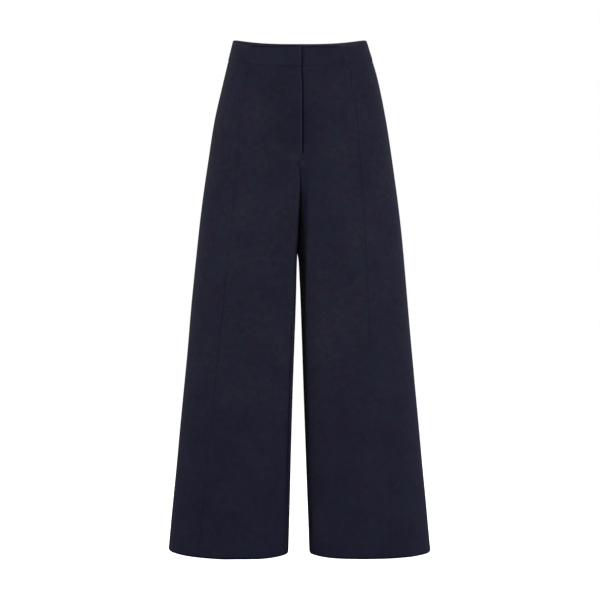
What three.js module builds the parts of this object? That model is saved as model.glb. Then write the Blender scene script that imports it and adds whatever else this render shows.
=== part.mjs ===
// Cropped wide-leg trousers, hollow as when worn. Millimetres, +Z up, the front faces -Y.
// The origin is the middle of the waist opening. Right and left are the wearer's, so left is +X.
import * as THREE from 'three';

// Cloth
const PANEL_WALL = 1.5;
const BAND_WALL = 2.4;
const SEAM_GAP = 0.3;
const CLOTH_FINISH = { color: 0x22222f, roughness: 0.85, metalness: 0 };

// Heights
const FRONT_TOP = -3;
const BACK_TOP = 28.5;
const BAND_HEIGHT = 35;
const CURVE_START = -194;
const CROTCH = -258;
const SIDE_HEM = -891;
const INSEAM_HEM_DROP = 4.5;
const FACE_HEM_DROP = 4;

// Body of the garment from the waist to the hem. right and left are the distances of the two sides
// from the centre line, front and back those of the front and the back of the cloth.
const SECTIONS = [
  { level: 32, right: 116, left: 116, front: 92, back: 92 },
  { level: 0, right: 124, left: 126, front: 94, back: 94 },
  { level: -50, right: 136, left: 140.5, front: 98, back: 102 },
  { level: -122, right: 152.5, left: 155.5, front: 103, back: 115 },
  { level: -194, right: 163.5, left: 166.5, front: 104, back: 121 },
  { level: -266, right: 174, left: 176.5, front: 101, back: 117 },
  { level: -338, right: 182.5, left: 184.5, front: 97, back: 109 },
  { level: -410, right: 190, left: 191, front: 94, back: 102 },
  { level: -536, right: 201.5, left: 202, front: 90, back: 96 },
  { level: -716, right: 218.5, left: 218.5, front: 87, back: 92 },
  { level: -900, right: 236.5, left: 236, front: 84, back: 89 },
];

// Inner leg. right and left are the distances of the two inseams from the centre line, depth is how
// far back the inseam lies, and roundness is how square the leg is on its inner side.
const INSEAMS = [
  { level: -194, right: 0, left: 0, depth: 8, roundness: 2.2 },
  { level: -258, right: 0.2, left: 0.2, depth: 8, roundness: 2.4 },
  { level: -338, right: 2, left: 0.4, depth: 6, roundness: 3.4 },
  { level: -374, right: 4, left: 0.6, depth: 5, roundness: 3.8 },
  { level: -446, right: 6.8, left: 2.2, depth: 3, roundness: 4 },
  { level: -626, right: 13.4, left: 8.4, depth: 0, roundness: 4 },
  { level: -900, right: 20.2, left: 18, depth: -4, roundness: 3.5 },
];

// Front panel seams, as distances from the centre line
const PANEL_SEAMS = [
  { level: 20, right: 81, left: 85 },
  { level: -57, right: 92.5, left: 90 },
  { level: -119, right: 102.5, left: 100 },
  { level: -189, right: 108, left: 105 },
  { level: -283, right: 116.5, left: 112.5 },
  { level: -416, right: 129.5, left: 118.5 },
  { level: -551, right: 143, left: 124.5 },
  { level: -678, right: 156.5, left: 133 },
  { level: -900, right: 178, left: 148 },
];

// Fly. The right front laps over an underlap of the left front, down to where the seam curves.
const LAP = 5.4;
const BAND_LAP = 3.5;
const UNDERLAP = 7;
const LAP_FADE = 11;

// Half of the flat middle of the front and back, which widens down each leg until the leg is formed
const FLAT_MIDDLE = 14;
const LEG_FORMED = -430;

// Roundness of the sections towards the sides. 2 is an ellipse, and higher is squarer.
const OUTER_ROUNDNESS = 2.25;

// Largest folds. from and to are distances from the centre line at the top and the bottom, width
// is the whole breadth of the fold, and rise is its height, less than 0 for a trough.
const FOLDS = [
  { side: 'right', face: 'front', top: -330, bottom: -830, from: 95, to: 97, width: 44, rise: -3.2 },
  { side: 'right', face: 'front', top: -290, bottom: -560, from: 55, to: 50, width: 46, rise: 2.4 },
  { side: 'left', face: 'front', top: -240, bottom: -660, from: 151, to: 156, width: 40, rise: -3 },
  { side: 'left', face: 'front', top: -300, bottom: -700, from: 78, to: 84, width: 52, rise: 2 },
  { side: 'right', face: 'back', top: -270, bottom: -800, from: 88, to: 108, width: 48, rise: -3.4 },
  { side: 'right', face: 'back', top: -300, bottom: -620, from: 136, to: 150, width: 40, rise: 2.4 },
  { side: 'left', face: 'back', top: -280, bottom: -740, from: 96, to: 112, width: 50, rise: -3 },
  { side: 'left', face: 'back', top: -330, bottom: -850, from: 52, to: 66, width: 44, rise: 2.2 },
];

// Mesh
const STRAIGHT_ROWS = 6;
const CURVE_ROWS = 9;
const LEG_ROWS = 18;
const LEG_ROW_GROWTH = 1.6;
const INNER_COLUMNS = 5;
const CENTRE_COLUMNS = 4;
const SIDE_COLUMNS = 6;
const BACK_COLUMNS = 8;
const BAND_ROWS = 2;
const ARC_STEPS = 32;

const PANEL_SEAM_COLUMN = INNER_COLUMNS + CENTRE_COLUMNS;
const SIDE_SEAM_COLUMN = PANEL_SEAM_COLUMN + SIDE_COLUMNS;
const LAST_COLUMN = SIDE_SEAM_COLUMN + BACK_COLUMNS + INNER_COLUMNS;
const CENTRE_FRONT_COLUMNS = { first: 0, last: PANEL_SEAM_COLUMN };
const SIDE_FRONT_COLUMNS = { first: PANEL_SEAM_COLUMN, last: SIDE_SEAM_COLUMN };
const BACK_PANEL_COLUMNS = { first: SIDE_SEAM_COLUMN, last: LAST_COLUMN };
const CROTCH_ROW = STRAIGHT_ROWS + CURVE_ROWS + 1;
const BAND_ALL_ROWS = { first: 0, last: BAND_ROWS };
const KNEE_ROW = CROTCH_ROW + 9;
const CALF_ROW = CROTCH_ROW + 14;

// Each panel is one length of cloth from the waist seam to the hem. Its wall is parted at these rows
// into four simple solids, because a stiff solid can't bend round the whole leg as cloth does.
const LENGTHS = [
  { name: 'hip', first: 0, last: CROTCH_ROW },
  { name: 'thigh', first: CROTCH_ROW, last: KNEE_ROW },
  { name: 'knee', first: KNEE_ROW, last: CALF_ROW },
  { name: 'calf', first: CALF_ROW, last: CROTCH_ROW + LEG_ROWS },
];

const DIRECTION = { right: -1, left: 1 };
const CENTRE_FRONT = { face: 'front', way: 0 };

function between(a, b, share) {
  return a + (b - a) * share;
}

function clampedShare(from, to, value) {
  return THREE.MathUtils.clamp((value - from) / (to - from), 0, 1);
}

function softShare(from, to, value) {
  const share = clampedShare(from, to, value);
  return share * share * (3 - 2 * share);
}

function tableSlope(table, column, row) {
  const above = table[Math.max(row - 1, 0)];
  const below = table[Math.min(row + 1, table.length - 1)];
  return (below[column] - above[column]) / (below.level - above.level);
}

// A smooth curve through a table's rows, which run from the top down
function valueAt(table, column, level) {
  let row = 0;
  while (row < table.length - 2 && table[row + 1].level > level) {
    row += 1;
  }
  const upper = table[row];
  const lower = table[row + 1];
  const span = lower.level - upper.level;
  const t = clampedShare(upper.level, lower.level, level);
  const start = tableSlope(table, column, row) * span;
  const end = tableSlope(table, column, row + 1) * span;
  const rise = lower[column] - upper[column];
  return upper[column] + t * (start + t * (3 * rise - 2 * start - end + t * (start + end - 2 * rise)));
}

function faceDepth(face, level) {
  return valueAt(SECTIONS, face, level) * (face === 'front' ? -1 : 1);
}

// How far the centre seam has turned from the front or back down to the crotch, along a quarter
// round: 0 is flat on the body, 1 is the crotch and all of the inseam below it.
function centreTurn(level) {
  const down = clampedShare(CURVE_START, CROTCH, level);
  return 1 - Math.sqrt(1 - down * down);
}

// The form of one side's front or back at a level: where its seam lies, where the cloth stands out
// most, and where the side is
function faceForm(side, face, level) {
  const outside = valueAt(SECTIONS, side, level);
  const inside = valueAt(INSEAMS, side, level);
  const depth = faceDepth(face, level);
  return {
    inside,
    outside,
    depth,
    seamDepth: between(depth, valueAt(INSEAMS, 'depth', level), centreTurn(level)),
    middle: between(FLAT_MIDDLE, (inside + outside) / 2, softShare(CURVE_START, LEG_FORMED, level)),
    innerPower: 2 / valueAt(INSEAMS, 'roundness', level),
  };
}

// Quarter round from the centre seam or inseam, at 0, to where the cloth stands out most, at 1
function innerQuarter(form, way) {
  const angle = (way * Math.PI) / 2;
  const x = form.middle - (form.middle - form.inside) * Math.max(Math.cos(angle), 0) ** form.innerPower;
  const y = form.seamDepth + (form.depth - form.seamDepth) * Math.sin(angle) ** form.innerPower;
  return [x, y];
}

// Quarter round from there to the side seam, at 1, in even steps along the cloth
function outerQuarter(form, way) {
  const power = 2 / OUTER_ROUNDNESS;
  const arc = [];
  const lengths = [0];
  for (let step = 0; step <= ARC_STEPS; step += 1) {
    const angle = (step / ARC_STEPS) * (Math.PI / 2);
    const x = form.middle + (form.outside - form.middle) * Math.sin(angle) ** power;
    const y = form.depth * Math.max(Math.cos(angle), 0) ** power;
    arc.push([x, y]);
    if (step > 0) {
      lengths.push(lengths[step - 1] + Math.hypot(x - arc[step - 1][0], y - arc[step - 1][1]));
    }
  }
  const target = way * lengths[ARC_STEPS];
  let step = 1;
  while (step < ARC_STEPS && lengths[step] < target) {
    step += 1;
  }
  const part = (target - lengths[step - 1]) / (lengths[step] - lengths[step - 1]);
  return [between(arc[step - 1][0], arc[step][0], part), between(arc[step - 1][1], arc[step][1], part)];
}

function foldRise(side, face, x, level) {
  let rise = 0;
  for (const fold of FOLDS) {
    const down = (fold.top - level) / (fold.top - fold.bottom);
    const across = (x - between(fold.from, fold.to, down)) / fold.width;
    if (fold.side === side && fold.face === face && down > 0 && down < 1 && Math.abs(across) < 0.5) {
      rise += fold.rise * Math.cos(Math.PI * across) ** 2 * Math.sin(Math.PI * down) ** 0.7;
    }
  }
  return rise;
}

// A place on the cloth. way goes from 0 at the centre seam or inseam, through 1 where the cloth
// stands out most, to 2 at the side seam.
function clothPoint(side, place, level) {
  const form = faceForm(side, place.face, level);
  const [x, y] = place.way < 1 ? innerQuarter(form, place.way) : outerQuarter(form, place.way - 1);
  const outward = place.face === 'front' ? -1 : 1;
  const rise = outward * foldRise(side, place.face, x, level);
  return new THREE.Vector3(DIRECTION[side] * x, y + rise, level);
}

// Heights of the garment's edges round the body
function topEdge(place) {
  const turned = Math.cos((Math.max(place.way - 1, 0) * Math.PI) / 2);
  const forward = (1 + (place.face === 'front' ? turned : -turned)) / 2;
  return between(BACK_TOP, FRONT_TOP, forward * forward);
}

function waistSeam(place) {
  return topEdge(place) - BAND_HEIGHT;
}

function hemEdge(place) {
  const inward = 1 - place.way / 2;
  return SIDE_HEM - INSEAM_HEM_DROP * inward - FACE_HEM_DROP * Math.sin(Math.PI * inward);
}

// Rows of the panels: straight ones down the fly, then round the curve to the crotch, then down the
// leg. drop is the share of the way from the waist seam to the crotch, or from there to the hem.
function panelRows() {
  const rows = [];
  const top = waistSeam(CENTRE_FRONT);
  for (let step = 0; step <= STRAIGHT_ROWS; step += 1) {
    const level = between(top, CURVE_START + LAP_FADE, step / STRAIGHT_ROWS);
    rows.push({ leg: false, drop: (top - level) / (top - CROTCH) });
  }
  for (let step = 0; step < CURVE_ROWS; step += 1) {
    const level = between(CURVE_START, CROTCH, Math.sin(((step / CURVE_ROWS) * Math.PI) / 2));
    rows.push({ leg: false, drop: (top - level) / (top - CROTCH) });
  }
  for (let step = 0; step <= LEG_ROWS; step += 1) {
    rows.push({ leg: true, drop: (step / LEG_ROWS) ** LEG_ROW_GROWTH });
  }
  return rows;
}

function rowLevel(row, place) {
  if (row.leg) {
    return between(CROTCH, hemEdge(place), row.drop);
  }
  return between(waistSeam(place), CROTCH, row.drop);
}

// Where the front panel seam lies in a row
function seamPlace(side, levelAt) {
  let near = 1;
  let far = 2;
  for (let step = 0; step < 16; step += 1) {
    const place = { face: 'front', way: (near + far) / 2 };
    const level = levelAt(place);
    if (Math.abs(clothPoint(side, place, level).x) < valueAt(PANEL_SEAMS, side, level)) {
      near = place.way;
    } else {
      far = place.way;
    }
  }
  return near;
}

// Places of the columns: centre front, side front and back, with the seams shared
function columnPlaces(side, levelAt) {
  const seam = seamPlace(side, levelAt);
  const places = [];
  const add = (face, from, to, count) => {
    for (let step = 0; step < count; step += 1) {
      places.push({ face, way: between(from, to, step / count) });
    }
  };
  add('front', 0, 1, INNER_COLUMNS);
  add('front', 1, seam, CENTRE_COLUMNS);
  add('front', seam, 2, SIDE_COLUMNS);
  add('back', 2, 1, BACK_COLUMNS);
  add('back', 1, 0, INNER_COLUMNS);
  places.push({ face: 'back', way: 0 });
  return places;
}

// One row of points round a side. lap is how far the front edge passes the centre line, and lift is
// how far the right front stands off the underlap.
function clothRow(side, row) {
  const line = columnPlaces(side, row.levelAt).map((place) => clothPoint(side, place, row.levelAt(place)));
  line[0].x -= DIRECTION[side] * row.lap[side];
  if (side === 'right') {
    line.slice(0, INNER_COLUMNS).forEach((point) => {
      point.y -= row.lift;
    });
  }
  return line;
}

// Points of a whole side with the direction that faces outwards at each of them
function clothSide(side, rows) {
  const points = rows.map((row) => clothRow(side, row));
  const outward = points.map((line, r) => line.map((point, c) => {
    const across = new THREE.Vector3().subVectors(
      line[Math.min(c + 1, LAST_COLUMN)],
      line[Math.max(c - 1, 0)],
    );
    const down = new THREE.Vector3().subVectors(
      points[Math.min(r + 1, points.length - 1)][c],
      points[Math.max(r - 1, 0)][c],
    );
    return new THREE.Vector3().crossVectors(across, down).multiplyScalar(-DIRECTION[side]).normalize();
  }));
  outward.forEach((line, r) => {
    if (rows[r].leg) {
      line[0].add(line[LAST_COLUMN]).normalize();
      line[LAST_COLUMN].copy(line[0]);
    } else {
      line[0].setX(0).normalize();
      line[LAST_COLUMN].setX(0).normalize();
    }
  });
  return { side, rows, points, outward };
}

function towards(point, neighbour, distance) {
  const step = new THREE.Vector3().subVectors(neighbour, point).setLength(distance);
  return point.clone().add(step);
}

// Cuts a piece out of a side, half a seam gap in from each seam
function cutPiece(whole, columns, rows, trims) {
  const half = SEAM_GAP / 2;
  const outer = whole.points.slice(rows.first, rows.last + 1).map((line) => {
    const cut = line.slice(columns.first, columns.last + 1).map((point) => point.clone());
    const end = cut.length - 1;
    cut[0] = towards(line[columns.first], line[columns.first + 1], half);
    if (trims.last) {
      cut[end] = towards(line[columns.last], line[columns.last - 1], half);
    }
    return cut;
  });
  if (trims.top) {
    outer[0] = outer[0].map((point, c) => towards(point, outer[1][c], half));
  }
  if (trims.bottom) {
    const end = outer.length - 1;
    outer[end] = outer[end].map((point, c) => towards(point, outer[end - 1][c], half));
  }
  return {
    outer,
    outward: whole.outward.slice(rows.first, rows.last + 1)
      .map((line) => line.slice(columns.first, columns.last + 1)),
    rows: whole.rows.slice(rows.first, rows.last + 1),
    side: whole.side,
  };
}

// Keeps a piece on its own side of the centre line, except where the fly laps
function clearOfCentre(point, side, row) {
  if (row.lap[side] === 0) {
    point.x = DIRECTION[side] * Math.max(DIRECTION[side] * point.x, SEAM_GAP / 2);
  }
  return point;
}

function pieceLayers(piece, wall) {
  const outer = piece.outer.map((line, r) => (
    line.map((point) => clearOfCentre(point, piece.side, piece.rows[r]))
  ));
  const inner = outer.map((line, r) => line.map((point, c) => (
    clearOfCentre(point.clone().addScaledVector(piece.outward[r][c], -wall), piece.side, piece.rows[r])
  )));
  return { outer, inner };
}

// A closed wall from its outer and inner layer of points. reversed turns the faces round for a side
// whose columns run the other way.
function wallGeometry(layers, reversed) {
  const rowCount = layers.outer.length;
  const columnCount = layers.outer[0].length;
  const positions = [];
  for (const layer of [layers.outer, layers.inner]) {
    for (const line of layer) {
      for (const point of line) {
        positions.push(point.x, point.y, point.z);
      }
    }
  }
  const outer = (r, c) => r * columnCount + c;
  const inner = (r, c) => rowCount * columnCount + outer(r, c);
  const faces = [];
  const quad = (a, b, c, d) => {
    faces.push(...(reversed ? [a, c, b, a, d, c] : [a, b, c, a, c, d]));
  };
  for (let r = 0; r < rowCount - 1; r += 1) {
    for (let c = 0; c < columnCount - 1; c += 1) {
      quad(outer(r, c), outer(r, c + 1), outer(r + 1, c + 1), outer(r + 1, c));
      quad(inner(r, c), inner(r + 1, c), inner(r + 1, c + 1), inner(r, c + 1));
    }
  }
  for (let c = 0; c < columnCount - 1; c += 1) {
    const end = rowCount - 1;
    quad(outer(0, c), inner(0, c), inner(0, c + 1), outer(0, c + 1));
    quad(outer(end, c), outer(end, c + 1), inner(end, c + 1), inner(end, c));
  }
  for (let r = 0; r < rowCount - 1; r += 1) {
    const end = columnCount - 1;
    quad(outer(r, 0), outer(r + 1, 0), inner(r + 1, 0), inner(r, 0));
    quad(outer(r, end), inner(r, end), inner(r + 1, end), outer(r + 1, end));
  }
  const geometry = new THREE.BufferGeometry();
  geometry.setAttribute('position', new THREE.Float32BufferAttribute(positions, 3));
  geometry.setIndex(faces);
  geometry.computeVertexNormals();
  return geometry;
}

function namedMesh(name, geometry) {
  const mesh = new THREE.Mesh(geometry, new THREE.MeshStandardMaterial(CLOTH_FINISH));
  mesh.name = name;
  return mesh;
}

function panelMeshes(name, whole, columns) {
  return LENGTHS.map((length) => {
    const toHem = length.last === CROTCH_ROW + LEG_ROWS;
    const piece = cutPiece(whole, columns, length, { last: true, top: true, bottom: !toHem });
    const geometry = wallGeometry(pieceLayers(piece, PANEL_WALL), whole.side === 'left');
    return namedMesh(`${name}_${length.name}`, geometry);
  });
}

function panels(side) {
  const rows = panelRows().map((row) => {
    const centre = rowLevel(row, CENTRE_FRONT);
    const open = row.leg ? 0 : clampedShare(CURVE_START, CURVE_START + LAP_FADE, centre);
    const lifted = row.leg ? 0 : clampedShare(CURVE_START - LAP_FADE, CURVE_START, centre);
    return {
      leg: row.leg,
      levelAt: (place) => rowLevel(row, place),
      lap: { right: LAP * open, left: UNDERLAP * open },
      lift: (PANEL_WALL + SEAM_GAP) * lifted,
    };
  });
  const whole = clothSide(side, rows);
  return [
    ...panelMeshes(`centre_front_${side}`, whole, CENTRE_FRONT_COLUMNS),
    ...panelMeshes(`side_front_${side}`, whole, SIDE_FRONT_COLUMNS),
    ...panelMeshes(`back_${side}`, whole, BACK_PANEL_COLUMNS),
  ];
}

function bandSide(side) {
  const rows = [];
  for (let step = 0; step <= BAND_ROWS; step += 1) {
    rows.push({
      leg: false,
      levelAt: (place) => topEdge(place) - (BAND_HEIGHT * step) / BAND_ROWS,
      lap: { right: BAND_LAP, left: UNDERLAP },
      lift: BAND_WALL + SEAM_GAP,
    });
  }
  return clothSide(side, rows);
}

function bandMesh(name, whole, columns) {
  const piece = cutPiece(whole, columns, BAND_ALL_ROWS, { last: true, bottom: true });
  return namedMesh(name, wallGeometry(pieceLayers(piece, BAND_WALL), whole.side === 'left'));
}

// The back of the band is one piece from side seam to side seam, across the centre back
function backBandMesh(right, left) {
  const halves = [right, left].map((whole) => {
    const piece = cutPiece(whole, BACK_PANEL_COLUMNS, BAND_ALL_ROWS, { last: false, bottom: true });
    const inner = piece.outer.map((line, r) => line.map((point, c) => (
      point.clone().addScaledVector(piece.outward[r][c], -BAND_WALL)
    )));
    return { outer: piece.outer, inner };
  });
  const joined = {};
  for (const layer of ['outer', 'inner']) {
    joined[layer] = halves[0][layer].map((line, r) => (
      [...line, ...halves[1][layer][r].slice(0, -1).reverse()]
    ));
  }
  return namedMesh('band_back', wallGeometry(joined, false));
}

function waistband() {
  const right = bandSide('right');
  const left = bandSide('left');
  const meshes = [backBandMesh(right, left)];
  for (const whole of [right, left]) {
    meshes.push(bandMesh(`band_front_${whole.side}`, whole, CENTRE_FRONT_COLUMNS));
    meshes.push(bandMesh(`band_side_${whole.side}`, whole, SIDE_FRONT_COLUMNS));
  }
  return meshes;
}

const trousers = new THREE.Group();
trousers.add(...panels('right'), ...panels('left'), ...waistband());

export default trousers;
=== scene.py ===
# %% [markdown]
# Cropped wide-leg trousers in navy cloth
# The construction model that this lesson starts from has every panel of the trousers as a stiff
# wall, at its real size and place. Here the same panels are made again as cloth: thinner, with
# turned edges, pressed seams, soft creases and a woven surface. The construction model stays as
# the frame that all of it is measured against.

# %% Load the construction model
import math

import bmesh
import bpy
import numpy as np
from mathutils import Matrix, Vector, noise


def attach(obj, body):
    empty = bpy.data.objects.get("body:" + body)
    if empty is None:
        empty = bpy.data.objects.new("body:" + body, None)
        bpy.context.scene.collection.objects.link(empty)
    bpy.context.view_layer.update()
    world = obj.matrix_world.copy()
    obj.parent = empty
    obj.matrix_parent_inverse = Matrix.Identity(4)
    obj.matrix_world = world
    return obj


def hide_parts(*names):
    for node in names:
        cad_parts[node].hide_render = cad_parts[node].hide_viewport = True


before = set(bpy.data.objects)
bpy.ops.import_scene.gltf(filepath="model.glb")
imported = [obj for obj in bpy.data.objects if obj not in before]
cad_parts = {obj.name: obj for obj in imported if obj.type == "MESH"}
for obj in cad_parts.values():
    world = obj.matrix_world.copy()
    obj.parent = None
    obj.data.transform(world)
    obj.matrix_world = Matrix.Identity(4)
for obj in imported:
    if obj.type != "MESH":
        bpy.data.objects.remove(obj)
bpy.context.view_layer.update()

# %% [markdown]
# The pattern
# A maker describes trousers by their girths at a few heights, and by where the seams run. The
# tables below do the same. Each row is a height, measured down from the waist, and a smooth curve
# through the rows gives every height between them. It could also be done with a handful of curve
# objects, but a table is easier to read beside a tape measure. All sizes here are in millimetres,
# and they become metres only when a point of the cloth is put in its place.

# %% Sizes of the garment
MM = 0.001
FACING = {"front": -1, "back": 1}
DIRECTION = {"right": -1, "left": 1}

FRONT_TOP = -2.3
BACK_TOP = 28.5
FRONT_WAIST = -38
BACK_WAIST = -6.5
# The centre seam curves from CURVE_START down to the crotch, and turns under a little lower down
CURVE_START = -194
CURVE_LAG = 6
CROTCH = -258
SIDE_HEM = {"right": -891, "left": -895}
INSEAM_HEM = -895.5
# How far the hem sags in the middle of the front and back, and how it rolls under there
FACE_HEM_DROP = {"right": 4, "left": 1.6}
ROLL_DROP = 3.0
ROLL_HEIGHT = 6.0
ROLL_DEPTH = 3.0
# Half the breadth of the flat middle, the height where each leg has its own middle, and the
# roundness of the outer quarter
FLAT_MIDDLE = 14
LEG_FORMED = -430
OUTER_ROUNDNESS = 2.25
print("side seam from waist to hem:", BACK_TOP / 2 - SIDE_HEM["right"], "mm or so")


# %% Tables of widths and seams
def table(columns, *rows):
    """Rows of sizes, kept as one list for each named column."""
    return {name: np.array(values, dtype=float) for name, values in zip(columns.split(), zip(*rows))}


# Distances of the sides from the centre line, and of the front and back of the cloth from it
SECTIONS = table(
    "level right left front back",
    (32, 116, 116, 92, 92),
    (0, 124, 126, 94, 94),
    (-50, 136, 140.5, 98, 102),
    (-122, 152.5, 155.5, 103, 115),
    (-194, 163.5, 166.5, 104, 121),
    (-266, 174, 176.5, 101, 117),
    (-338, 182.5, 184.5, 97, 109),
    (-410, 190, 191, 94, 102),
    (-536, 201.5, 202, 90, 96),
    (-716, 218.5, 218.5, 87, 92),
    (-900, 236.5, 236, 84, 89),
)
# Distances of the inseams from the centre line, how far back they lie, and how square the leg is
INSEAMS = table(
    "level right left depth back",
    (-194, 0, 0, 8, 2.2),
    (-258, 0, 0, 8, 2.4),
    (-300, 1.1, -1.1, 7, 2.9),
    (-338, 2.8, -2.8, 6, 3.4),
    (-352, 3.5, -3.5, 5.6, 3.5),
    (-362, 3.9, -3.9, 5.3, 3.6),
    (-372, 4.3, -2.1, 5, 3.8),
    (-392, 5.0, -0.8, 4.5, 3.9),
    (-446, 6.3, 1.7, 3, 4),
    (-626, 12.6, 7.7, 0, 4),
    (-900, 19.7, 17.7, -4, 3.5),
)
# The same squareness in front, where the inner leg is a sharper corner, and how far that corner
# stands back from the inseam on each side. Just below the fly the crease lies a little to the
# wearer's left of the seam, so there the right corner stands forward.
INNER_CORNERS = table(
    "level front right left",
    (-194, 2.2, 0, 0),
    (-206, 5.5, 0, 0),
    (-214, 8.0, 0, 0),
    (-232, 13.0, -1.8, 1.8),
    (-258, 15.0, -2.0, 2.2),
    (-300, 13.0, -0.7, 4.9),
    (-338, 13.0, 0.5, 10.2),
    (-374, 15.0, 2.1, 12.5),
    (-446, 14.0, 1.5, 8.8),
    (-540, 9.0, 0.5, 6.0),
    (-626, 6.0, 0, 5.0),
    (-760, 4.5, 0, 2.0),
    (-900, 3.5, 0, 0),
)
# Distances of the front panel seams from the centre line
PANEL_SEAMS = table(
    "level right left",
    (20, 81, 85),
    (-57, 92.5, 90),
    (-119, 102.5, 100),
    (-189, 108, 105),
    (-283, 116.5, 112.5),
    (-416, 129.5, 118.5),
    (-551, 143, 124.5),
    (-678, 156.5, 133),
    (-900, 178, 148),
)


# %% Curves through the tables
def table_value(rows, column, level):
    """A smooth curve through one column of a table, whose rows run from the top down."""
    levels, values = rows["level"], rows[column]
    slopes = np.empty_like(values)
    slopes[1:-1] = (values[2:] - values[:-2]) / (levels[2:] - levels[:-2])
    slopes[0] = (values[1] - values[0]) / (levels[1] - levels[0])
    slopes[-1] = (values[-1] - values[-2]) / (levels[-1] - levels[-2])
    level = np.asarray(level, dtype=float)
    upper = np.clip(np.searchsorted(-levels[1:], -level), 0, len(levels) - 2)
    span = levels[upper + 1] - levels[upper]
    t = np.clip((level - levels[upper]) / span, 0, 1)
    start, end = slopes[upper] * span, slopes[upper + 1] * span
    rise = values[upper + 1] - values[upper]
    return values[upper] + t * (start + t * (3 * rise - 2 * start - end + t * (start + end - 2 * rise)))


def share(start, end, value):
    """How far a value is on the way from start to end, from 0 to 1."""
    return np.clip((np.asarray(value, dtype=float) - start) / (end - start), 0, 1)


def soft_share(start, end, value):
    """The same with a soft start and end."""
    t = share(start, end, value)
    return t * t * (3 - 2 * t)


print("half hip girth in front, mm:", sum(table_value(SECTIONS, side, CURVE_START) for side in DIRECTION))

# %% [markdown]
# The shape round the body
# One side of the garment, seen from above, is a rounded form in two quarters for the front and two
# for the back. The inner quarter runs from the centre seam, or from the inseam on the leg, to where
# the cloth stands out most, and the outer quarter from there to the side seam. Above the curved
# part of the centre seam the inner quarter is flat, so left and right join into one body. Below it
# the quarter turns inwards until it meets the back at the inseam. One family of curves for body and
# leg keeps the cloth smooth where the leg begins, which is the hard part of any trousers.

# %% The form at each height
QUARTER_STEPS = 200
ARC_STEPS = 32
even_steps = np.linspace(0, 1, QUARTER_STEPS + 1)
INNER_WAYS = even_steps**3 * (10 - 15 * even_steps + 6 * even_steps**2)
WAYS = np.concatenate([INNER_WAYS, 1 + even_steps[1:]])


def centre_turn(level):
    """How far the centre seam has turned down from the front or back to the crotch, from 0 to 1."""
    down = share(CURVE_START - CURVE_LAG, CROTCH, level)
    return 1 - np.sqrt(1 - down * down)


def outer_angle(middle, outside, depth, way, power):
    """The angle of a place on the outer quarter, so that equal ways are equal lengths of cloth."""
    angles = np.linspace(0, math.pi / 2, ARC_STEPS + 1)
    x = (outside - middle)[..., None] * np.sin(angles) ** power
    y = depth[..., None] * np.cos(angles).clip(0) ** power
    lengths = np.cumsum(np.hypot(np.diff(x, axis=-1), np.diff(y, axis=-1)), axis=-1)
    target = np.clip(way - 1, 0, 1) * lengths[..., -1]
    step = np.minimum((lengths < target[..., None]).sum(axis=-1), ARC_STEPS - 1)
    step_before = np.maximum(step - 1, 0)
    after, before = (
        np.take_along_axis(lengths, index[..., None], axis=-1)[..., 0] for index in (step, step_before)
    )
    before = np.where(step > 0, before, 0)
    part = np.clip((target - before) / (after - before), 0, 1)
    return (step + part) / ARC_STEPS * math.pi / 2


def section(side, face, level):
    """Places on one side's front or back, a row of them for each row of heights."""
    outside = table_value(SECTIONS, side, level)
    inside = table_value(INSEAMS, side, level)
    depth = FACING[face] * table_value(SECTIONS, face, level)
    seam_depth = depth + (table_value(INSEAMS, "depth", level) - depth) * centre_turn(level)
    leg_middle = (inside + outside) / 2
    middle = FLAT_MIDDLE + (leg_middle - FLAT_MIDDLE) * soft_share(CURVE_START, LEG_FORMED, level)
    way = np.broadcast_to(WAYS, level.shape)
    corners = INNER_CORNERS if face == "front" else INSEAMS
    inner_power = 2 / table_value(corners, face, level)
    angle = np.clip(way, 0, 1) * math.pi / 2
    forward = np.sin(angle) ** inner_power
    if face == "front":
        inside = inside + table_value(INNER_CORNERS, side, level) * forward
    inner_x = middle - (middle - inside) * np.cos(angle).clip(0) ** inner_power
    inner_y = seam_depth + (depth - seam_depth) * forward
    power = 2 / OUTER_ROUNDNESS
    angle = outer_angle(middle, outside, depth, way, power)
    outer_x = middle + (outside - middle) * np.sin(angle) ** power
    outer_y = depth * np.cos(angle).clip(0) ** power
    return np.where(way < 1, inner_x, outer_x), np.where(way < 1, inner_y, outer_y)


# %% Heights of the edges
def forwardness(face):
    """How far forward each way round the waist lies: 1 in front, a half at the side, 0 at the back."""
    turned = np.cos(np.clip(WAYS - 1, 0, 1) * math.pi / 2)
    return (1 - FACING[face] * turned) / 2


def top_edge(face):
    """The top of the waistband, which stays nearly level between the front panel seams."""
    return BACK_TOP + (FRONT_TOP - BACK_TOP) * soft_share(0, 1, forwardness(face) ** 1.62)


def waist_line(face):
    return BACK_WAIST + (FRONT_WAIST - BACK_WAIST) * forwardness(face) ** 2


def hem_roll():
    """Where the hem rolls under and hangs a trace lower: the middle of each face, not the seams."""
    from_inseam = soft_share(0.35, 0.8, WAYS)
    return from_inseam * (1 - 0.7 * soft_share(1.0, 1.8, WAYS)) * (1 - soft_share(1.8, 2.0, WAYS))


def hem_edge(side):
    inward = 1 - WAYS / 2
    level = SIDE_HEM[side] + (INSEAM_HEM - SIDE_HEM[side]) * inward
    return level - FACE_HEM_DROP[side] * np.sin(math.pi * inward) - ROLL_DROP * hem_roll()


print("the back of the waist stands", BACK_TOP - FRONT_TOP, "mm above the front")
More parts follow.
